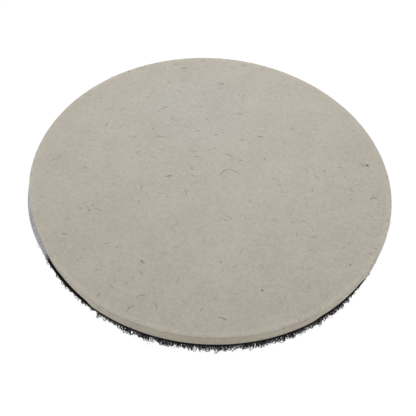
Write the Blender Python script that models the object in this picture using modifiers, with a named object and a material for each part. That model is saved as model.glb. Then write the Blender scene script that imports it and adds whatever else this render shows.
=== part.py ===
"""Felt polishing disc with a loop-cloth back, for a quick-change backing pad.

The disc lies on its loops with the polishing face up. The origin is the centre of the loop face and +Z
runs along the disc's axis towards the polishing face. The felt and its backing are cut to one nominal
radius and bonded in a stack. From the ground up the layers are the loop pile, the knitted cloth that holds
it, the adhesive film and the felt.
"""

import math

import bpy

MM = 0.001

# Driving dimensions, in metres.
DISC_DIAMETER = 100.0 * MM
FELT_THICKNESS = 3.0 * MM
ADHESIVE_THICKNESS = 0.2 * MM
CLOTH_THICKNESS = 0.4 * MM
PILE_HEIGHT = 1.5 * MM
LAYER_GAP = 0.3 * MM

FELT_EDGE_ROUNDING = 0.35 * MM
ADHESIVE_EDGE_ROUNDING = 0.04 * MM
CLOTH_EDGE_ROUNDING = 0.1 * MM
PILE_EDGE_ROUNDING = 0.6 * MM

SEGMENTS_AROUND = 128
ROUNDING_SEGMENTS = 2
MERGE_DISTANCE = 0.00001
SHARP_ANGLE = math.radians(30)

COLLECTION_NAME = "felt_polishing_disc"


def clear_scene():
    """Remove every object the scene opens with."""
    for scene_object in list(bpy.data.objects):
        bpy.data.objects.remove(scene_object, do_unlink=True)


def make_material(name, color, roughness):
    """A non-metallic Principled material."""
    material = bpy.data.materials.new(name)
    material.use_nodes = True
    shader = material.node_tree.nodes["Principled BSDF"]
    shader.inputs["Base Color"].default_value = (*color, 1.0)
    shader.inputs["Roughness"].default_value = roughness
    shader.inputs["Metallic"].default_value = 0.0
    return material


def turned_disc(name, bottom, thickness, edge_rounding, material, collection, axis_empty):
    """A flat disc turned about +Z: its half section runs down its outer side, then the rims are rounded."""
    radius = DISC_DIAMETER / 2
    section = [(0, 0, thickness), (radius, 0, thickness), (radius, 0, 0), (0, 0, 0)]
    edges = [(i, i + 1) for i in range(len(section) - 1)]
    mesh = bpy.data.meshes.new(name)
    mesh.from_pydata(section, edges, [])
    disc = bpy.data.objects.new(name, mesh)
    collection.objects.link(disc)
    disc.parent = axis_empty
    disc.location = (0, 0, bottom)
    mesh.materials.append(material)

    turn = disc.modifiers.new("turn", "SCREW")
    turn.axis = "Z"
    turn.angle = 2 * math.pi
    turn.steps = SEGMENTS_AROUND
    turn.render_steps = SEGMENTS_AROUND
    turn.use_merge_vertices = True
    turn.merge_threshold = MERGE_DISTANCE
    turn.use_smooth_shade = True

    rounding = disc.modifiers.new("round_rims", "BEVEL")
    rounding.width = edge_rounding
    rounding.segments = ROUNDING_SEGMENTS
    rounding.limit_method = "ANGLE"
    rounding.angle_limit = SHARP_ANGLE
    rounding.harden_normals = True
    return disc


def build():
    """Stack the layers from the ground up, with a small gap between each and the next."""
    clear_scene()
    collection = bpy.data.collections.new(COLLECTION_NAME)
    bpy.context.scene.collection.children.link(collection)
    axis_empty = bpy.data.objects.new("disc_axis", None)
    collection.objects.link(axis_empty)

    felt = make_material("felt", (0.46, 0.43, 0.37), 0.95)
    adhesive = make_material("adhesive", (0.08, 0.075, 0.07), 0.5)
    cloth = make_material("knitted_nylon", (0.012, 0.012, 0.013), 0.75)
    pile = make_material("nylon_loops", (0.02, 0.02, 0.023), 0.55)

    layers = [
        ("loop_pile", PILE_HEIGHT, PILE_EDGE_ROUNDING, pile),
        ("loop_backing_cloth", CLOTH_THICKNESS, CLOTH_EDGE_ROUNDING, cloth),
        ("adhesive_film", ADHESIVE_THICKNESS, ADHESIVE_EDGE_ROUNDING, adhesive),
        ("felt_disc", FELT_THICKNESS, FELT_EDGE_ROUNDING, felt),
    ]
    bottom = 0.0
    for name, thickness, edge_rounding, material in layers:
        turned_disc(name, bottom, thickness, edge_rounding, material, collection, axis_empty)
        bottom += thickness + LAYER_GAP


build()
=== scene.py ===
import math
import random

import bpy
from mathutils import Matrix, Vector


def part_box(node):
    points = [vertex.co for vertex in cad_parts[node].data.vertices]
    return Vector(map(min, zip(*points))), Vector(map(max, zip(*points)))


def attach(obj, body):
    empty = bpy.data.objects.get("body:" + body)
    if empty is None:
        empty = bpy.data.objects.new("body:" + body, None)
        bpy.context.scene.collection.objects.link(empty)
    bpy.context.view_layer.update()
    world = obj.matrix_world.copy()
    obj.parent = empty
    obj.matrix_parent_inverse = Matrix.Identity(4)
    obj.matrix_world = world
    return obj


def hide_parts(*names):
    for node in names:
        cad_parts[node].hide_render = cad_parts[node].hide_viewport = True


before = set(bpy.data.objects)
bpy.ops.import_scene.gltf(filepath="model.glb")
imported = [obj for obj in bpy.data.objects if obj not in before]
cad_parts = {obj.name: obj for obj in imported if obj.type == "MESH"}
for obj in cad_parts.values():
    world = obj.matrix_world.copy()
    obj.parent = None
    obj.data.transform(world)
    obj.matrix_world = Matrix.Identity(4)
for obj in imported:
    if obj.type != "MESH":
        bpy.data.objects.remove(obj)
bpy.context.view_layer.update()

MM = 0.001

# ---- Pressed felt ----
# The working layer: white wool carded, wetted and pressed hard into a 3 mm sheet, then die-cut to a
# disc. The die's push rounds the upper edge and leaves a faint flared lip round the lower one.


class Wire:
    """One socket of a node tree. Arithmetic on wires adds Math nodes, so a pattern reads as a formula."""

    def __init__(self, tree, socket=None):
        self.tree = tree
        self.socket = socket

    def node(self, kind, settings, inputs, output=0):
        """Any other node of the tree: its settings first, then its sockets' values or wires."""
        made = self.tree.nodes.new(kind)
        for name, value in settings.items():
            setattr(made, name, value)
        for name, value in inputs.items():
            if isinstance(value, Wire):
                self.tree.links.new(value.socket, made.inputs[name])
            else:
                made.inputs[name].default_value = value
        return Wire(self.tree, made.outputs[output])

    def out(self, name):
        """Another output of the node that this wire leaves."""
        return Wire(self.tree, self.socket.node.outputs[name])

    def feed(self, socket):
        """Ends the wire in a socket."""
        self.tree.links.new(self.socket, socket)

    def math(self, operation, *values):
        """A Math node with this wire as its first value."""
        return self.node("ShaderNodeMath", {"operation": operation}, dict(enumerate((self, *values))))

    def vector(self, operation, *values, output=0):
        """A Vector Math node with this wire as its first vector."""
        inputs = dict(enumerate((self, *values)))
        return self.node("ShaderNodeVectorMath", {"operation": operation}, inputs, output)

    def scaled(self, factor):
        """A vector made longer or shorter."""
        return self.node("ShaderNodeVectorMath", {"operation": "SCALE"}, {0: self, "Scale": factor})

    def axes(self):
        """The three numbers of a vector."""
        x = self.node("ShaderNodeSeparateXYZ", {}, {0: self})
        return x, x.out("Y"), x.out("Z")

    def from_axes(self, x, y, z):
        """A vector made of three numbers."""
        return self.node("ShaderNodeCombineXYZ", {}, {"X": x, "Y": y, "Z": z})

    def between(self, low, high):
        """0 up to low, 1 from high on, and a smooth rise between them."""
        return self.node(
            "ShaderNodeMapRange",
            {"interpolation_type": "SMOOTHSTEP"},
            {"Value": self, "From Min": low, "From Max": high},
        )

    def noise(self, scale, detail=2.0, roughness=0.5, output=0):
        """Noise read at the place that this wire gives."""
        inputs = {"Vector": self, "Scale": scale, "Detail": detail, "Roughness": roughness}
        return self.node("ShaderNodeTexNoise", {}, inputs, output)

    def random(self, low, high, seed):
        """A number between low and high, drawn anew for each point."""
        return self.node("FunctionNodeRandomValue", {}, {2: low, 3: high, "Seed": seed}, 1)

    def random_vector(self, reach, seed):
        """A level vector within reach either way, drawn anew for each point."""
        return self.node(
            "FunctionNodeRandomValue",
            {"data_type": "FLOAT_VECTOR"},
            {0: (-reach, -reach, 0.0), 1: (reach, reach, 0.0), "Seed": seed},
        )

    def position(self):
        """Where each point of a growing mesh lies."""
        return self.node("GeometryNodeInputPosition", {}, {})

    def __add__(self, other):
        return self.math("ADD", other)

    def __radd__(self, other):
        return self.math("ADD", other)

    def __sub__(self, other):
        return self.math("SUBTRACT", other)

    def __rsub__(self, other):
        return (self * -1.0).math("ADD", other)

    def __mul__(self, other):
        return self.math("MULTIPLY", other)

    def __rmul__(self, other):
        return self.math("MULTIPLY", other)

    def __truediv__(self, other):
        return self.math("DIVIDE", other)


def growth_tree(name, sizes, takes_mesh=False):
    """A Geometry Nodes tree with a named input for each size, the wires that read them, and its output."""
    tree = bpy.data.node_groups.new(name, "GeometryNodeTree")
    tree.interface.new_socket("Geometry", in_out="OUTPUT", socket_type="NodeSocketGeometry")
    if takes_mesh:
        tree.interface.new_socket("Mesh", in_out="INPUT", socket_type="NodeSocketGeometry")
    kinds = {int: "NodeSocketInt", float: "NodeSocketFloat", type(None): "NodeSocketMaterial"}
    for label, value in sizes.items():
        socket = tree.interface.new_socket(label, in_out="INPUT", socket_type=kinds[type(value)])
        socket.default_value = value
    given = tree.nodes.new("NodeGroupInput")
    result = tree.nodes.new("NodeGroupOutput")
    wires = {socket.name: Wire(tree, socket) for socket in given.outputs if socket.name}
    return tree, wires, result.inputs["Geometry"]


def grown(name, tree, sizes, start=None):
    """The plain mesh that a tree grows with these sizes, from a start mesh or from nothing."""
    mesh = start.copy() if start else bpy.data.meshes.new(name)
    piece = bpy.data.objects.new(name, mesh)
    bpy.context.scene.collection.objects.link(piece)
    growth = piece.modifiers.new("growth", "NODES")
    growth.node_group = tree
    for item in tree.interface.items_tree:
        if item.in_out == "INPUT" and item.name in sizes:
            growth[item.identifier] = sizes[item.name]
    evaluated = piece.evaluated_get(bpy.context.evaluated_depsgraph_get())
    plain = bpy.data.meshes.new_from_object(evaluated)
    piece.modifiers.remove(growth)
    piece.data = plain
    plain.name = name
    return piece


def cut_back(outward, size, depth=0.0):
    """How far the cut strayed inwards on the left and right of the front, less the overhang.

    Depth is 0 at the face and 1 at the glued side. With a slant of 1 the cut on the front runs in under the
    face, from nothing at depth 0 to all of it at depth 1. Headings are in degrees from +X.
    """
    x, y, _ = outward.axes()
    heading = y.math("ARCTAN2", x) * math.degrees(1)
    long_cut = heading.between(-174.0, -167.0) * size["Long Cut"]
    deep_cut = heading.between(-165.0, -145.0) * size["Deep Cut"]
    eased = 1.0 - heading.between(-150.0, -117.0) * size["Easing"]
    left = (long_cut + deep_cut) * eased * (1.0 - heading.between(-125.0, -121.0))
    right = heading.between(-58.0, -55.0) * (1.0 - heading.between(-39.0, -35.0)) * size["Right Cut"]
    slant = heading.between(-150.0, -134.0) * size["Slant"]
    leftmost = math.radians(188)
    overhang = (x * math.cos(leftmost) + y * math.sin(leftmost)).between(0.88, 1.0) * size["Overhang"]
    return (left + right) * (1.0 - slant * (1.0 - depth)) - overhang


def die_cut_layer_tree(rim_rows, edge_steps):
    """A disc of even square cells, its upper edge rounded, with a lip at its lower edge.

    Both powers keep a change close to the edge: the lip's flare, and the face drawn in by a stray cut.
    """
    flare_power, draw_power = 5, 8.0
    sizes = {
        "Cells": 100, "Radius": 0.05, "Low": 0.0, "High": 0.003, "Rounding": 0.0004, "Lip": 0.0,
        "Fine Relief": 0.0, "Broad Relief": 0.0, "Long Cut": 0.0, "Deep Cut": 0.0, "Easing": 0.0,
        "Right Cut": 0.0, "Slant": 0.0, "Overhang": 0.0, "Upside Down": 0, "Material": None,
    }
    tree, size, result = growth_tree("die_cut_layer", sizes)
    pen = Wire(tree)
    radius, low, high, rounding, lip = (size[n] for n in ("Radius", "Low", "High", "Rounding", "Lip"))
    corners = size["Cells"] + 1
    sheet = pen.node(
        "GeometryNodeMeshGrid",
        {},
        {"Size X": 2.0, "Size Y": 2.0, "Vertices X": corners, "Vertices Y": corners},
    )

    # The square sheet is drawn out to a disc with cells of equal area.
    x, y, _ = pen.position().axes()
    wide = x.math("ABSOLUTE").math("GREATER_THAN", y.math("ABSOLUTE"))
    tall = 1.0 - wide
    face_radius = radius - lip - rounding
    reach = (wide * x + tall * y) * face_radius
    turn = wide * (y / x) * (math.pi / 4) + tall * (math.pi / 2 - (x / y) * (math.pi / 4))
    outward = pen.from_axes(turn.math("COSINE"), turn.math("SINE"), 0.0).scaled(reach.math("SIGN"))
    drawn_in = (reach.math("ABSOLUTE") / face_radius).math("POWER", draw_power)
    # A layer that is turned over in the end is cut as its own mirror image.
    mirror = pen.from_axes(1.0, 1.0 - size["Upside Down"] * 2.0, 1.0)
    reach = reach.math("ABSOLUTE") - drawn_in * cut_back(outward.vector("MULTIPLY", mirror), size)
    place = outward.scaled(reach).vector("ADD", pen.from_axes(0.0, 0.0, high))
    layer = pen.node("GeometryNodeSetPosition", {}, {"Geometry": sheet, "Position": place})

    # Each row of the rim is drawn out of the one before it.
    rows = []
    for step in range(1, edge_steps + 1):
        angle = math.pi / 2 * step / edge_steps
        row_radius = radius - lip - rounding * (1 - math.sin(angle))
        rows.append((row_radius, high - rounding * (1 - math.cos(angle)), 0.0))
    for step in range(1, rim_rows + 1):
        depth = step / rim_rows
        row_radius = radius - lip * (1 - depth**flare_power)
        rows.append((row_radius, (high - rounding) * (1 - depth) + low * depth, depth))
    rows.append((0.0, low, 1.0))
    faces = pen.node("GeometryNodeInputMeshEdgeNeighbors", {}, {})
    edge = faces.math("COMPARE", 1.0, 0.1)
    for row_radius, row_height, depth in rows:
        layer = pen.node(
            "GeometryNodeExtrudeMesh",
            {"mode": "EDGES"},
            {"Mesh": layer, "Selection": edge, "Offset": (0.0, 0.0, -1.0), "Offset Scale": 1 * MM},
        )
        edge = layer.out("Top")
        px, py, _ = pen.position().axes()
        outward = pen.from_axes(px, py, 0.0).vector("NORMALIZE")
        if isinstance(row_radius, Wire):
            row_radius = row_radius - cut_back(outward.vector("MULTIPLY", mirror), size, depth)
        row_place = outward.scaled(row_radius).vector("ADD", pen.from_axes(0.0, 0.0, row_height))
        layer = pen.node(
            "GeometryNodeSetPosition", {}, {"Geometry": layer, "Selection": edge, "Position": row_place}
        )
    layer = pen.node(
        "GeometryNodeMergeByDistance", {}, {"Geometry": layer, "Selection": edge, "Distance": 0.001 * MM}
    )

    # Relief stands along the surface's own direction and fades out at the glued face.
    position = pen.position()
    height = position.axes()[2]
    free = (height - low) / (high - low)
    fine = (position.noise(900.0) - 0.5) * size["Fine Relief"]
    broad = (position.noise(170.0) - 0.5) * size["Broad Relief"]
    along = pen.node("GeometryNodeInputNormal", {}, {}).scaled((fine + broad) * free.between(0.05, 0.4))
    layer = pen.node("GeometryNodeSetPosition", {}, {"Geometry": layer, "Offset": along})

    # A layer whose open face looks down is turned over about its own middle height.
    flip = pen.from_axes(size["Upside Down"] * math.pi, 0.0, 0.0)
    laid = pen.from_axes(0.0, 0.0, size["Upside Down"] * (low + high))
    layer = pen.node(
        "GeometryNodeTransform", {}, {"Geometry": layer, "Translation": laid, "Rotation": flip}
    )
    layer = pen.node("GeometryNodeSetShadeSmooth", {}, {"Geometry": layer, "Shade Smooth": True})
    pen.node("GeometryNodeSetMaterial", {}, {"Geometry": layer, "Material": size["Material"]}).feed(result)
    return tree


def new_finish(name, sockets):
    """A material with the socket values that are the same all over it, and a wire to draw its pattern."""
    material = bpy.data.materials.new(name)
    material.use_nodes = True
    shader = material.node_tree.nodes["Principled BSDF"]
    for socket, value in sockets.items():
        shader.inputs[socket].default_value = value
    return material, shader.inputs, Wire(material.node_tree)


def place_in_mm(pen):
    """Where a point of the surface lies, in millimetres from the middle of the loop face."""
    return pen.node("ShaderNodeTexCoord", {}, {}, "Object").scaled(1 / MM)


def tinted(pen, amount, start, end):
    """A colour that goes from start to end as amount goes from 0 to 1."""
    return pen.node(
        "ShaderNodeMix", {"data_type": "RGBA"}, {0: amount, 6: (*start, 1.0), 7: (*end, 1.0)}, 2
    )


def toned(pen, amount, colour, tone):
    """A colour multiplied by a tone, as far as amount says."""
    return pen.node(
        "ShaderNodeMix",
        {"data_type": "RGBA", "blend_type": "MULTIPLY"},
        {0: amount, 6: colour, 7: (*tone, 1.0)},
        2,
    )


def bumped(pen, height, strength, distance):
    """A surface direction that a height pattern tilts."""
    return pen.node("ShaderNodeBump", {}, {"Strength": strength, "Distance": distance, "Height": height})


def fibre_streaks(pen, place, angles, length, width):
    """Short faint strokes that cross at several angles, as pressed fibres do."""
    strokes = 0.0
    for number, angle in enumerate(angles):
        x, y, z = place.axes()
        along = x * (math.cos(angle) / length) + y * (math.sin(angle) / length)
        across = y * (math.cos(angle) / width) - x * (math.sin(angle) / width)
        spot = pen.from_axes(along, across, z + number)
        strokes = spot.noise(1.0, detail=1.0).between(0.62, 0.78) + strokes
    return strokes


felt_low, felt_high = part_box("felt_disc")
disc_radius = felt_high.x
felt_top = felt_high.z

shaded_wool = (0.325, 0.298, 0.253)
pale_wool = (0.440, 0.408, 0.352)
felt_finish, felt_sockets, pen = new_finish(
    "pressed_felt",
    {"Roughness": 0.92, "Specular IOR Level": 0.25, "Sheen Weight": 0.25, "Sheen Roughness": 0.6},
)
place = place_in_mm(pen)
x, y, z = place.axes()
from_centre = (x * x + y * y).math("SQRT")
mottle = place.noise(1.1, detail=6.0, roughness=0.7)
streaks = fibre_streaks(pen, place, angles=(0.2, 1.0, 1.9, 2.6), length=1.4, width=0.16)
paler = (mottle - 0.5) * 0.95 + (place.noise(0.11) - 0.5) * 0.35 + 0.5 - streaks * 0.14
wool = tinted(pen, paler.between(0.0, 1.0), shaded_wool, pale_wool)

# The wool's cast wanders between greenish and pinkish, pinker to the edge, with one cool patch at the back.
cast = place.vector("ADD", (31.0, 7.0, 0.0)).noise(0.07)
greener = cast.between(0.35, 0.65) * (1.0 - from_centre.between(30.0, 46.0) * 0.6)
wool = toned(pen, greener, wool, (0.975, 1.0, 0.985))
wool = toned(pen, 1.0 - greener, wool, (1.0, 0.985, 0.985))
from_patch = place.vector("DISTANCE", (-5.0, 24.0, felt_top / MM), output="Value")
wool = toned(pen, 1.0 - from_patch.between(6.0, 24.0), wool, (0.985, 0.99, 1.055))

# The rim is tinted yellower: painted light, for the warmer shade on the upright rim. The press leaves it
# darker in fine layers. The lip at the bottom of the rim is paler, and a band inside the upper edge is
# painted pale as a highlight.
rim = 1.0 - z.between(felt_top / MM - 0.7, felt_top / MM - 0.2)
layers = pen.from_axes(x * 0.35, y * 0.35, z * 2.6).noise(1.0)
# Painted light: the whole rim is tinted yellower, as the upright rim looks in its warmer shade.
wool = toned(pen, rim, wool, (1.075, 1.04, 0.935))
wool = toned(pen, rim * layers.between(0.35, 0.7), wool, (0.93, 0.925, 0.92))
lip = 1.0 - z.between(felt_low.z / MM + 0.1, felt_low.z / MM + 0.5)
wool = toned(pen, lip, wool, (1.05, 1.05, 1.06))
# Painted highlight: a pale band just inside the upper edge, where the rounded edge catches the light.
edge_highlight = from_centre.between(disc_radius / MM - 2.2, disc_radius / MM - 1.0) * (1.0 - rim)
wool = toned(pen, edge_highlight, wool, (1.065, 1.062, 1.05))
wool.feed(felt_sockets["Base Color"])
nap = place.noise(6.0, detail=4.0, roughness=0.7) * 0.6 + mottle * 0.6 - streaks * 0.3
bumped(pen, nap, 0.5, 0.03 * MM).feed(felt_sockets["Normal"])

layer_tree = die_cut_layer_tree(rim_rows=9, edge_steps=4)
felt_cuts = {"Long Cut": 0.32 * MM, "Deep Cut": 0.45 * MM, "Easing": 0.55, "Right Cut": 0.24 * MM}
felt = grown(
    "pressed_felt_disc",
    layer_tree,
    {
        "Cells": 268, "Radius": disc_radius, "Low": felt_low.z, "High": felt_top,
        "Rounding": 0.34 * MM, "Lip": 0.12 * MM, "Fine Relief": 0.022 * MM, "Broad Relief": 0.09 * MM,
        "Slant": 1.0, "Material": felt_finish, **felt_cuts,
    },
)
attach(felt, "root")
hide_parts("felt_disc")

# ---- Felt's own fibres ----
# Pale wool ends that the press laid flat on the face and the rim. They are no separate yarn: each is a hair
# of the felt's own wool, held in it by its two ends.


def drawn_along(pen, line, thickness, sides):
    """A closed round thread along a line."""
    section = pen.node(
        "GeometryNodeCurvePrimitiveCircle",
        {"mode": "RADIUS"},
        {"Resolution": sides, "Radius": thickness * 0.5},
    )
    return pen.node(
        "GeometryNodeCurveToMesh", {}, {"Curve": line, "Profile Curve": section, "Fill Caps": True}
    )


def fibre_tree(name):
    """Short curved fibres scattered over the faces of a mesh that look between two heights."""
    sizes = {
        "Per Area": 1.0, "Length": 0.001, "Thickness": 0.00002, "Bow": 0.00003, "Curl": 0.0001,
        "Shortest": 0.5, "Lift": 0.0, "Lowest Facing": 0.5, "Highest Facing": 1.0, "Strands": 1,
        "Spread": 0.0001, "Seed": 0, "Material": None,
    }
    tree, size, result = growth_tree(name, sizes, takes_mesh=True)
    pen = Wire(tree)
    facing = pen.node("GeometryNodeInputNormal", {}, {}).axes()[2]
    chosen = facing.math("GREATER_THAN", size["Lowest Facing"])
    chosen = chosen * facing.math("LESS_THAN", size["Highest Facing"])
    seats = pen.node(
        "GeometryNodeDistributePointsOnFaces",
        {"distribute_method": "RANDOM"},
        {"Mesh": size["Mesh"], "Selection": chosen, "Density": size["Per Area"], "Seed": size["Seed"]},
    )
    half = size["Length"] * 0.5
    line = pen.node(
        "GeometryNodeCurvePrimitiveLine",
        {},
        {"Start": pen.from_axes(half * -1.0, 0.0, 0.0), "End": pen.from_axes(half, 0.0, 0.0)},
    )
    line = pen.node("GeometryNodeResampleCurve", {"mode": "COUNT"}, {"Curve": line, "Count": 6})
    along = pen.node("GeometryNodeSplineParameter", {}, {}) * 2.0 - 1.0
    sink = pen.from_axes(0.0, 0.0, size["Thickness"] * 0.4 - along * along * size["Bow"])
    line = pen.node("GeometryNodeSetPosition", {}, {"Geometry": line, "Offset": sink})
    fibre = drawn_along(pen, line, size["Thickness"], sides=3)
    sideways = pen.from_axes(0.0, size["Spread"], 0.0)
    abreast = pen.node("GeometryNodeMeshLine", {}, {"Count": size["Strands"], "Offset": sideways})
    splay = pen.random(0.0, 0.12, 9)
    wisp = pen.node(
        "GeometryNodeInstanceOnPoints",
        {},
        {"Points": abreast, "Instance": fibre, "Rotation": pen.from_axes(0.0, 0.0, splay)},
    )
    wisp = pen.node("GeometryNodeRealizeInstances", {}, {"Geometry": wisp})
    spin = pen.random(0.0, math.tau, size["Seed"] + 1)
    lift = pen.random(0.0, size["Lift"], size["Seed"] + 2)
    draw = pen.random(0.0, 1.0, size["Seed"] + 3)
    share = draw * draw * (1.0 - size["Shortest"]) + size["Shortest"]
    turn = pen.node("FunctionNodeEulerToRotation", {}, {"Euler": pen.from_axes(0.0, lift * -1.0, spin)})
    turn = pen.node(
        "FunctionNodeRotateRotation",
        {"rotation_space": "LOCAL"},
        {"Rotation": seats.out("Rotation"), "Rotate By": turn},
    )
    laid = pen.node(
        "GeometryNodeInstanceOnPoints",
        {},
        {"Points": seats, "Instance": wisp, "Rotation": turn, "Scale": pen.from_axes(share, 1.0, 1.0)},
    )
    laid = pen.node("GeometryNodeRealizeInstances", {}, {"Geometry": laid})
    drift = pen.position().noise(800.0, detail=1.0, output="Color")
    drift = drift.vector("SUBTRACT", (0.5, 0.5, 0.5)).scaled(size["Curl"])
    drift = drift.vector("MULTIPLY", (1.0, 1.0, 0.08))
    laid = pen.node("GeometryNodeSetPosition", {}, {"Geometry": laid, "Offset": drift})
    laid = pen.node("GeometryNodeSetShadeSmooth", {}, {"Geometry": laid, "Shade Smooth": True})
    pen.node("GeometryNodeSetMaterial", {}, {"Geometry": laid, "Material": size["Material"]}).feed(result)
    return tree


wool_finish, wool_sockets, pen = new_finish(
    "wool_fibre", {"Roughness": 0.6, "Specular IOR Level": 0.3, "Sheen Weight": 0.15}
)
paler = place_in_mm(pen).noise(1.1, detail=1.0).between(0.3, 0.7)
tinted(pen, paler, (0.31, 0.29, 0.245), (0.50, 0.48, 0.42)).feed(wool_sockets["Base Color"])

wool_fibres = fibre_tree("laid_fibres")
on_face = {"Lowest Facing": 0.6, "Highest Facing": 1.1}
laid_fibres = {
    "face_fibres_a": {"Per Area": 0.75e6, "Length": 1.6 * MM, "Seed": 3, **on_face},
    "face_fibres_b": {"Per Area": 0.75e6, "Length": 1.1 * MM, "Seed": 11, **on_face},
    "rim_fibres": {
        "Per Area": 3.2e6, "Length": 0.9 * MM, "Lift": 0.3, "Seed": 23, "Lowest Facing": -0.5,
        "Highest Facing": 0.6,
    },
}
for name, sizes in laid_fibres.items():
    shared = {"Thickness": 0.028 * MM, "Bow": 0.05 * MM, "Curl": 0.5 * MM, "Material": wool_finish}
    fibres = grown(name, wool_fibres, {**shared, **sizes}, start=felt.data)
    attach(fibres, "root")

# ---- Stray dark fibres ----
# Black and brown hairs that no carding takes out of the wool, pressed into it with the rest. They show as
# short faint strokes and specks in the face.
dark_finish, dark_sockets, pen = new_finish("dark_hair", {"Roughness": 0.5, "Specular IOR Level": 0.4})
paler = place_in_mm(pen).noise(0.6, detail=1.0).between(0.35, 0.65)
tinted(pen, paler, (0.05, 0.046, 0.04), (0.21, 0.19, 0.165)).feed(dark_sockets["Base Color"])
dark_kinds = {
    "dark_wisps": {
        "Per Area": 0.028e6, "Length": 2.6 * MM, "Thickness": 0.035 * MM, "Strands": 2, "Spread": 0.15 * MM,
        "Seed": 41,
    },
    "dark_specks": {
        "Per Area": 0.016e6, "Length": 0.6 * MM, "Thickness": 0.065 * MM, "Strands": 3, "Spread": 0.16 * MM,
        "Seed": 57,
    },
}
for name, sizes in dark_kinds.items():
    shared = {"Bow": 0.03 * MM, "Curl": 0.7 * MM, "Shortest": 0.2, "Material": dark_finish, **on_face}
    strokes = grown(name, wool_fibres, {**shared, **sizes}, start=felt.data)
    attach(strokes, "root")

# The longest and darkest hairs, in mm: middle of the hair, length, heading in degrees, bow and strands.
long_hairs = (
    (5.0, -1.5, 6.6, 7, 2.3, 2), (-6.7, -8.1, 2.9, 103, 0.1, 2), (-6.2, -8.0, 2.4, 80, -0.1, 1),
    (4.4, 6.1, 2.4, -22, 0.2, 3), (8.0, 4.6, 1.2, 0, 0.1, 3), (-14.5, 7.1, 2.4, 35, -0.3, 2),
    (-15.8, 23.9, 2.6, 32, 0.2, 3), (-13.0, 19.8, 0.8, 60, 0.0, 4), (-18.1, 14.6, 0.7, 10, 0.0, 4),
    (7.9, 30.9, 1.0, 80, 0.0, 3), (7.5, 23.6, 1.3, -10, 0.1, 3), (0.6, 14.0, 1.1, 5, 0.1, 5),
    (13.6, 14.4, 1.7, 0, 0.2, 5), (-4.4, 5.1, 2.2, 20, -0.3, 2), (-5.0, -2.4, 1.0, 0, 0.0, 4),
    (-11.9, -3.4, 2.0, 10, 0.3, 3), (29.4, 0.0, 2.3, -38, 0.2, 2), (27.9, -4.4, 1.8, 85, 0.1, 3),
    (31.2, 36.2, 2.2, -25, 0.3, 2), (-31.8, 15.0, 2.0, 70, 0.2, 2), (-29.0, -16.5, 2.9, -20, 0.4, 2),
    (-21.2, 5.0, 2.4, 45, 0.3, 2), (44.6, -6.5, 3.0, 20, 0.9, 2), (-16.6, -44.1, 2.4, 50, 0.4, 2),
    (4.8, -44.9, 2.3, -15, 0.2, 3), (-24.3, -41.2, 2.0, 75, 0.1, 2), (-11.3, 43.0, 3.4, 15, 0.5, 2),
)
chance = random.Random(7)
hairs = list(long_hairs)

# A pinch of dark trash lies pressed in near the right edge: short hairs round one spot.
for _ in range(34):
    near = (chance.gauss(43.5, 0.9), chance.gauss(6.1, 0.45))
    hairs.append((*near, chance.uniform(0.2, 0.7), chance.uniform(0, 180), 0.0, 1))
for _ in range(16):
    hairs.append((chance.gauss(44.2, 0.17), chance.gauss(6.1, 0.15), 0.4, chance.uniform(0, 180), 0.0, 1))

# Each strand wavers along its hair, lies a little proud of the face, and dips into it at both ends.
hair_steps = 12
proud, dip, wave = 0.012, 0.05, 0.05
spots, lines = [], []
for middle_x, middle_y, length, heading, bow, strands in hairs:
    along = Vector((math.cos(math.radians(heading)), math.sin(math.radians(heading))))
    across = Vector((-along.y, along.x))
    for _ in range(strands):
        drift = chance.uniform(-0.1, 0.1) * min(strands - 1, 1)
        waver = chance.uniform(0, math.tau)
        reach = length / 2 * chance.uniform(0.75, 1.0)
        for step in range(hair_steps + 1):
            t = 2 * step / hair_steps - 1
            side = bow * (1 - t * t) + drift + wave * math.sin(4 * t + waver) * min(length, 1.0)
            spot = Vector((middle_x, middle_y)) + along * (reach * t) + across * side
            above = Vector((spot.x * MM, spot.y * MM, felt_top + 1 * MM))
            surface = felt.ray_cast(above, Vector((0, 0, -1)))[1]
            spots.append((above.x, above.y, surface.z + (proud - dip * t**8) * MM))
            if step:
                lines.append((len(spots) - 2, len(spots) - 1))
hair_lines = bpy.data.meshes.new("hair_lines")
hair_lines.from_pydata(spots, lines, [])

hair_tree, size, result = growth_tree(
    "long_hairs", {"Thickness": 0.00006, "Material": None}, takes_mesh=True
)
pen = Wire(hair_tree)
path = pen.node("GeometryNodeMeshToCurve", {}, {"Mesh": size["Mesh"]})
hair = drawn_along(pen, path, size["Thickness"], sides=4)
hair = pen.node("GeometryNodeSetShadeSmooth", {}, {"Geometry": hair, "Shade Smooth": True})
pen.node("GeometryNodeSetMaterial", {}, {"Geometry": hair, "Material": size["Material"]}).feed(result)
hair_sizes = {"Thickness": 0.058 * MM, "Material": dark_finish}
placed = grown("long_dark_hairs", hair_tree, hair_sizes, start=hair_lines)
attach(placed, "root")

# ---- Adhesive film ----
# A sheet of contact adhesive, pressed thin between the felt and the cloth, which it bonds for good. It is cut
# with the felt and only its edge shows. The edge is near black: partly the glue's own dark colour, partly
# painted shade for the narrow gap under the felt.
adhesive_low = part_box("adhesive_film")[0]
cloth_low, cloth_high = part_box("loop_backing_cloth")
glue_and_gap_finish, glue_sockets, pen = new_finish("adhesive_edge_and_gap_shade", {"Specular IOR Level": 0.4})
smear = place_in_mm(pen).noise(2.5, detail=3.0)
# Painted shade: the edge's near-black stands partly for the shadow in the gap under the felt.
tinted(pen, smear, (0.01, 0.01, 0.01), (0.03, 0.029, 0.028)).feed(glue_sockets["Base Color"])
(smear * 0.3 + 0.4).feed(glue_sockets["Roughness"])
glue_top = felt_low.z - 0.01 * MM
glue_bottom = (adhesive_low.z + cloth_high.z) / 2
glue = grown(
    "adhesive_layer",
    layer_tree,
    {
        "Cells": 80, "Radius": disc_radius - 0.1 * MM, "Low": glue_bottom, "High": glue_top,
        "Rounding": 0.05 * MM, "Material": glue_and_gap_finish, **felt_cuts,
    },
)
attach(glue, "root")
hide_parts("adhesive_film")

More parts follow.
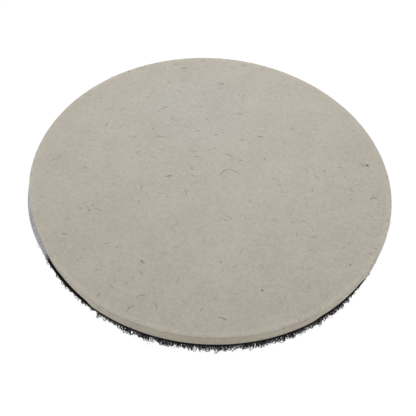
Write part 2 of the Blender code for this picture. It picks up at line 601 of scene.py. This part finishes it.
# ---- Knitted ground cloth ----
# Black nylon warp-knit, coated on its glued side to lock its loops. It is glued under the felt and die-cut
# with it. Pitches are in mm.
knit_finish, knit_sockets, pen = new_finish("knitted_ground", {"Roughness": 0.7, "Specular IOR Level": 0.1})
wale_pitch = 0.9
course_pitch = 0.7
place = place_in_mm(pen)
x, y, z = place.axes()
wale = (x * (math.tau / wale_pitch)).math("SINE")
slant = (y * (math.tau / course_pitch) + wale * 1.2).math("SINE")
stitch = wale * 0.25 + slant * 0.25 + 0.5
black = tinted(pen, stitch, (0.002, 0.002, 0.0025), (0.009, 0.009, 0.010))

# The cloth stands out past the felt on the left, where it shows as a pale sliver: partly its coated side,
# partly painted sheen of the light from the left on the black cloth's edge. On the front the end of the
# sliver slants and wavers. Headings are in degrees and heights in mm.
heading = y.math("ARCTAN2", x) * math.degrees(1)
from_centre = (x * x + y * y).math("SQRT")
smudge = place.noise(1.6)
end_height, slant_per_mm, wavering = 2.2, 7.0, 4.0
last_of_it = heading + (z - end_height) * slant_per_mm + (smudge - 0.5) * wavering
coat_and_sheen_share = heading.between(162.0, 170.0) + 1.0 - last_of_it.between(-144.5, -141.0)
coat_and_sheen_share = coat_and_sheen_share * from_centre.between(disc_radius / MM - 2.5, disc_radius / MM - 1.5)
# Painted sheen: pale where light from the left catches the black cloth's edge, and partly its coat.
coat_and_sheen_colour = tinted(pen, smudge.between(0.3, 0.7), (0.38, 0.385, 0.425), (0.56, 0.565, 0.625))
cloth_colour = pen.node("ShaderNodeMix", {"data_type": "RGBA"}, {0: coat_and_sheen_share, 6: black, 7: coat_and_sheen_colour}, 2)
cloth_colour.feed(knit_sockets["Base Color"])
bumped(pen, stitch, 0.8, 0.12 * MM).feed(knit_sockets["Normal"])
pile_low, pile_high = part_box("loop_pile")
cloth_bottom = (pile_high.z + cloth_low.z) / 2
cloth = grown(
    "ground_cloth",
    layer_tree,
    {
        "Cells": 160, "Radius": disc_radius, "Low": cloth_bottom, "High": glue_bottom - 0.01 * MM,
        "Rounding": 0.12 * MM, "Fine Relief": 0.05 * MM, "Broad Relief": 0.03 * MM, "Overhang": 0.7 * MM,
        "Upside Down": 1, "Material": knit_finish,
    },
)
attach(cloth, "root")
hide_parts("loop_backing_cloth")

# ---- Loop pile ----
# Springy black nylon yarn knitted through the ground cloth in rows, standing in loops that the hooks of a
# backing pad catch. The loops along the cut edge have lost their neighbours and lean out.


def ragged_share(outward):
    """1 where the cut left the pile ragged, 0 at the two sides, where the die trimmed it clean.

    On the left a few loops already stand out between the clean part and the ragged one.
    """
    side = outward.axes()[0]
    left = side.between(-0.8, -0.68) * 0.08 + side.between(-0.6, -0.3) * 0.92
    return left * (1.0 - side.between(0.55, 0.82))


def trimmed_by(outward, size):
    """How far inside the nominal radius the outermost loops stand."""
    return (1.0 - ragged_share(outward)) * size["Trimmed"]


def standing_loops(pen, size, seats):
    """A loop on each seat, leaning out near the edge and at random, then tangled a little as one mesh."""
    line = pen.node("GeometryNodeCurvePrimitiveLine", {}, {"Start": (0.0, 0.0, 0.0), "End": (1.0, 0.0, 0.0)})
    line = pen.node("GeometryNodeResampleCurve", {"mode": "COUNT"}, {"Curve": line, "Count": 9})
    sweep = math.radians(310)
    bend = pen.node("GeometryNodeSplineParameter", {}, {}) * sweep - sweep / 2
    side = bend.math("SINE") * (size["Width"] * 0.5)
    drop = (bend.math("COSINE") + 1.0) * (size["Height"] * -0.5)
    weave = (bend * 1.5).math("SINE") * (size["Width"] * 0.18)
    bent = pen.from_axes(side, weave, drop)
    line = pen.node("GeometryNodeSetPosition", {}, {"Geometry": line, "Position": bent})
    loop = drawn_along(pen, line, size["Thread"], sides=4)

    x, y, _ = pen.position().axes()
    from_centre = (x * x + y * y).math("SQRT")
    outward = pen.from_axes(x, y, 0.0).vector("NORMALIZE")
    near_edge = from_centre.between(size["Radius"] - 3.0 * MM, size["Radius"] - 0.4 * MM)
    # The loops lean out in tufts, and between the tufts a little inwards.
    tufted = outward.noise(14.0, detail=3.0).between(0.34, 0.6) * 1.15 - 0.15
    lean = outward.scaled(near_edge * size["Lean"] * tufted * ragged_share(outward))
    wander = pen.random_vector(1.0, size["Seed"]).scaled(size["Wander"])
    tip = lean.vector("ADD", wander).vector("ADD", (0.0, 0.0, -1.0))
    spin = pen.random(0.0, math.tau, size["Seed"] + 1)
    growth = pen.random(size["Shortest"], 1.08, size["Seed"] + 2)
    spun = pen.node("FunctionNodeEulerToRotation", {}, {"Euler": pen.from_axes(0.0, 0.0, spin)})
    stance = pen.node(
        "FunctionNodeAlignRotationToVector", {"axis": "Z"}, {"Rotation": spun, "Vector": tip.scaled(-1.0)}
    )
    grown_by = pen.from_axes(growth, growth, growth)
    loops = pen.node(
        "GeometryNodeInstanceOnPoints",
        {},
        {"Points": seats, "Instance": loop, "Rotation": stance, "Scale": grown_by},
    )
    loops = pen.node("GeometryNodeRealizeInstances", {}, {"Geometry": loops})

    position = pen.position()
    depth = ((size["Seat"] - position.axes()[2]) / size["Height"]).between(0.1, 0.8)
    tangle = position.noise(900.0, detail=1.0, output="Color")
    tangle = tangle.vector("SUBTRACT", (0.5, 0.5, 0.5)).scaled(depth * size["Tangle"])
    loops = pen.node("GeometryNodeSetPosition", {}, {"Geometry": loops, "Offset": tangle})
    lx, ly, lz = pen.position().axes()
    grounded = pen.from_axes(lx, ly, lz.math("MAXIMUM", size["Ground"]))
    loops = pen.node("GeometryNodeSetPosition", {}, {"Geometry": loops, "Position": grounded})
    loops = pen.node("GeometryNodeSetShadeSmooth", {}, {"Geometry": loops, "Shade Smooth": True})
    return pen.node("GeometryNodeSetMaterial", {}, {"Geometry": loops, "Material": size["Material"]})


loop_sizes = {
    "Radius": 0.05, "Seat": 0.0016, "Ground": 0.0, "Height": 0.0016, "Width": 0.0008, "Thread": 0.0001,
    "Lean": 0.5, "Wander": 0.3, "Tangle": 0.0003, "Shortest": 0.8, "Trimmed": 0.0005, "Seed": 0,
    "Material": None,
}


def loop_field_tree():
    """Rows of loops over a quarter of the disc, each row half a pitch along from the one before."""
    sizes = {"Pitch": 0.0009, "Side X": 1.0, "Side Y": 1.0, **loop_sizes}
    tree, size, result = growth_tree("loop_field", sizes)
    pen = Wire(tree)
    count = size["Radius"] / size["Pitch"]
    grid = pen.node(
        "GeometryNodeMeshGrid",
        {},
        {"Size X": size["Radius"], "Size Y": size["Radius"], "Vertices X": count, "Vertices Y": count},
    )
    x, y, _ = pen.position().axes()
    half = size["Radius"] * 0.5
    # Rows are counted from far outside the disc, so that every count is positive.
    odd_row = (y / size["Pitch"] + 1000.5).math("FLOOR").math("MODULO", 2.0)
    spot_x = (x + half + odd_row * size["Pitch"] * 0.5) * size["Side X"]
    spot_y = (y + half) * size["Side Y"]
    jitter = pen.random_vector(0.3, 5).scaled(size["Pitch"])
    spot = pen.from_axes(spot_x, spot_y, size["Seat"]).vector("ADD", jitter)
    grid = pen.node("GeometryNodeSetPosition", {}, {"Geometry": grid, "Position": spot})
    gx, gy, _ = pen.position().axes()
    trimmed = trimmed_by(pen.from_axes(gx, gy, 0.0).vector("NORMALIZE"), size)
    inside = (gx * gx + gy * gy).math("SQRT").math("LESS_THAN", size["Radius"] - trimmed - 0.15 * MM)
    seats = pen.node("GeometryNodeMeshToPoints", {"mode": "VERTICES"}, {"Mesh": grid, "Selection": inside})
    standing_loops(pen, size, seats).feed(result)
    return tree


def edge_loop_tree():
    """Loops close together round the cut edge."""
    sizes = {"Around": 800, "Inset": 0.0003, **loop_sizes}
    tree, size, result = growth_tree("edge_loops", sizes)
    pen = Wire(tree)
    ring = pen.node(
        "GeometryNodeMeshCircle",
        {"fill_type": "NONE"},
        {"Vertices": size["Around"], "Radius": size["Radius"]},
    )
    x, y, _ = pen.position().axes()
    inset = pen.random(0.0, size["Inset"], 8)
    trimmed = trimmed_by(pen.from_axes(x, y, 0.0).vector("NORMALIZE"), size)
    pull = 1.0 - (inset + trimmed) / size["Radius"]
    spot = pen.from_axes(x * pull, y * pull, size["Seat"])
    ring = pen.node("GeometryNodeSetPosition", {}, {"Geometry": ring, "Position": spot})
    seats = pen.node("GeometryNodeMeshToPoints", {"mode": "VERTICES"}, {"Mesh": ring})
    standing_loops(pen, size, seats).feed(result)
    return tree


nylon_finish, nylon_sockets, pen = new_finish("black_nylon_loops", {"Specular IOR Level": 0.35})
shade = place_in_mm(pen).noise(1.3)
black = tinted(pen, shade.between(0.3, 0.7), (0.003, 0.003, 0.0035), (0.018, 0.018, 0.02))
black.feed(nylon_sockets["Base Color"])
(shade * 0.2 + 0.42).feed(nylon_sockets["Roughness"])

pile_sizes = {
    "Radius": disc_radius, "Seat": cloth_bottom + 0.1 * MM, "Ground": pile_low.z, "Height": 1.7 * MM,
    "Width": 0.85 * MM, "Thread": 0.14 * MM, "Tangle": 0.6 * MM, "Shortest": 0.78, "Trimmed": 0.4 * MM,
    "Material": nylon_finish,
}
field_tree = loop_field_tree()
quarters = {
    "pile_right_back": (1.0, 1.0),
    "pile_left_back": (-1.0, 1.0),
    "pile_left_front": (-1.0, -1.0),
    "pile_right_front": (1.0, -1.0),
}
pile_pieces = []
for number, (name, (side_x, side_y)) in enumerate(quarters.items()):
    sizes = {
        **pile_sizes, "Pitch": 0.88 * MM, "Side X": side_x, "Side Y": side_y, "Lean": 0.6, "Wander": 0.35,
        "Seed": 100 + 10 * number,
    }
    pile_pieces.append(grown(name, field_tree, sizes))
edge_tree = edge_loop_tree()
edge_kinds = {
    "edge_loops": {
        "Around": 2850, "Inset": 0.9 * MM, "Thread": 0.14 * MM, "Lean": 0.5, "Wander": 0.35, "Shortest": 0.7,
        "Seed": 200,
    },
    "stray_loops": {
        "Around": 750, "Inset": 0.8 * MM, "Thread": 0.12 * MM, "Lean": 0.8, "Wander": 0.6, "Shortest": 0.5,
        "Seed": 250,
    },
    "edge_filaments": {
        "Around": 1100, "Inset": 0.8 * MM, "Thread": 0.045 * MM, "Lean": 0.85, "Wander": 0.6, "Shortest": 0.4,
        "Width": 1.0 * MM, "Tangle": 1.3 * MM, "Seed": 300,
    },
}
for name, sizes in edge_kinds.items():
    pile_pieces.append(grown(name, edge_tree, {**pile_sizes, **sizes}))
for piece in pile_pieces:
    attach(piece, "root")
    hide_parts("loop_pile")

# ---- Table, light and camera ----
# A plain white table that glows, so that the disc's shadow on it stays faint. Soft lamps above, in front and
# at both sides look at the disc, and the camera looks down on it from the front. The table is clear from
# below, where it lets the underside be seen.
bpy.ops.mesh.primitive_plane_add(size=6.0, location=(0, 0, pile_low.z))
table = bpy.context.object
table.name = "white_table"
table_finish, _, pen = new_finish(
    "white_table",
    {
        "Base Color": (0.06, 0.06, 0.06, 1.0), "Roughness": 0.9, "Specular IOR Level": 0.0,
        "Emission Color": (1.0, 1.0, 1.0, 1.0), "Emission Strength": 0.97,
    },
)
table_nodes = table_finish.node_tree.nodes
seen_from_below = pen.node("ShaderNodeNewGeometry", {}, {}, "Backfacing")
clear = pen.node("ShaderNodeBsdfTransparent", {}, {})
white = Wire(pen.tree, table_nodes["Principled BSDF"].outputs[0])
one_way = pen.node("ShaderNodeMixShader", {}, {0: seen_from_below, 1: white, 2: clear})
one_way.feed(table_nodes["Material Output"].inputs["Surface"])
table.data.materials.append(table_finish)

world = bpy.data.worlds.new("studio")
world.use_nodes = True
world.node_tree.nodes["Background"].inputs["Color"].default_value = (1.0, 0.985, 0.955, 1.0)
world.node_tree.nodes["Background"].inputs["Strength"].default_value = 0.38
bpy.context.scene.world = world
bpy.context.scene.view_settings.view_transform = "Standard"

lamps = {
    "soft_box": {"size": 0.16, "energy": 0.246, "color": (0.955, 0.98, 1.0), "place": (0.004, 0.05, 0.17)},
    "front_card": {"size": 0.3, "energy": 0.24, "color": (1.0, 0.98, 0.94), "place": (0.0, -0.38, 0.24)},
    "left_card": {"size": 0.2, "energy": 0.47, "color": (1.0, 0.985, 0.96), "place": (-0.36, 0.05, 0.1)},
    "right_card": {"size": 0.2, "energy": 0.33, "color": (1.0, 0.985, 0.96), "place": (0.36, 0.03, 0.1)},
}
for name, lamp in lamps.items():
    lamp_data = bpy.data.lights.new(name, "AREA")
    lamp_data.shape = "DISK"
    lamp_data.size = lamp["size"]
    lamp_data.energy = lamp["energy"]
    lamp_data.color = lamp["color"]
    light = bpy.data.objects.new(name, lamp_data)
    light.location = lamp["place"]
    light.rotation_euler = (light.location * -1).to_track_quat("-Z", "Y").to_euler()
    light.visible_camera = False
    bpy.context.scene.collection.objects.link(light)

camera_data = bpy.data.cameras.new("camera")
camera_data.sensor_width = 36.0
camera_data.lens = 47.8
camera_data.clip_start = 0.01
camera = bpy.data.objects.new("camera", camera_data)
elevation = math.radians(52.76)
roll = math.radians(4.09)
distance_in_radii = 3.0
aim_x, aim_y = -0.0066 * disc_radius, -0.2181 * disc_radius
target = Vector((aim_x, aim_y, felt_low.z))
back = Vector((0.0, -math.cos(elevation), math.sin(elevation)))
camera.location = target + back * distance_in_radii * disc_radius
look_down = Matrix.Rotation(math.pi / 2 - elevation, 3, "X") @ Matrix.Rotation(roll, 3, "Z")
camera.rotation_euler = look_down.to_euler()
bpy.context.scene.collection.objects.link(camera)
bpy.context.scene.camera = camera
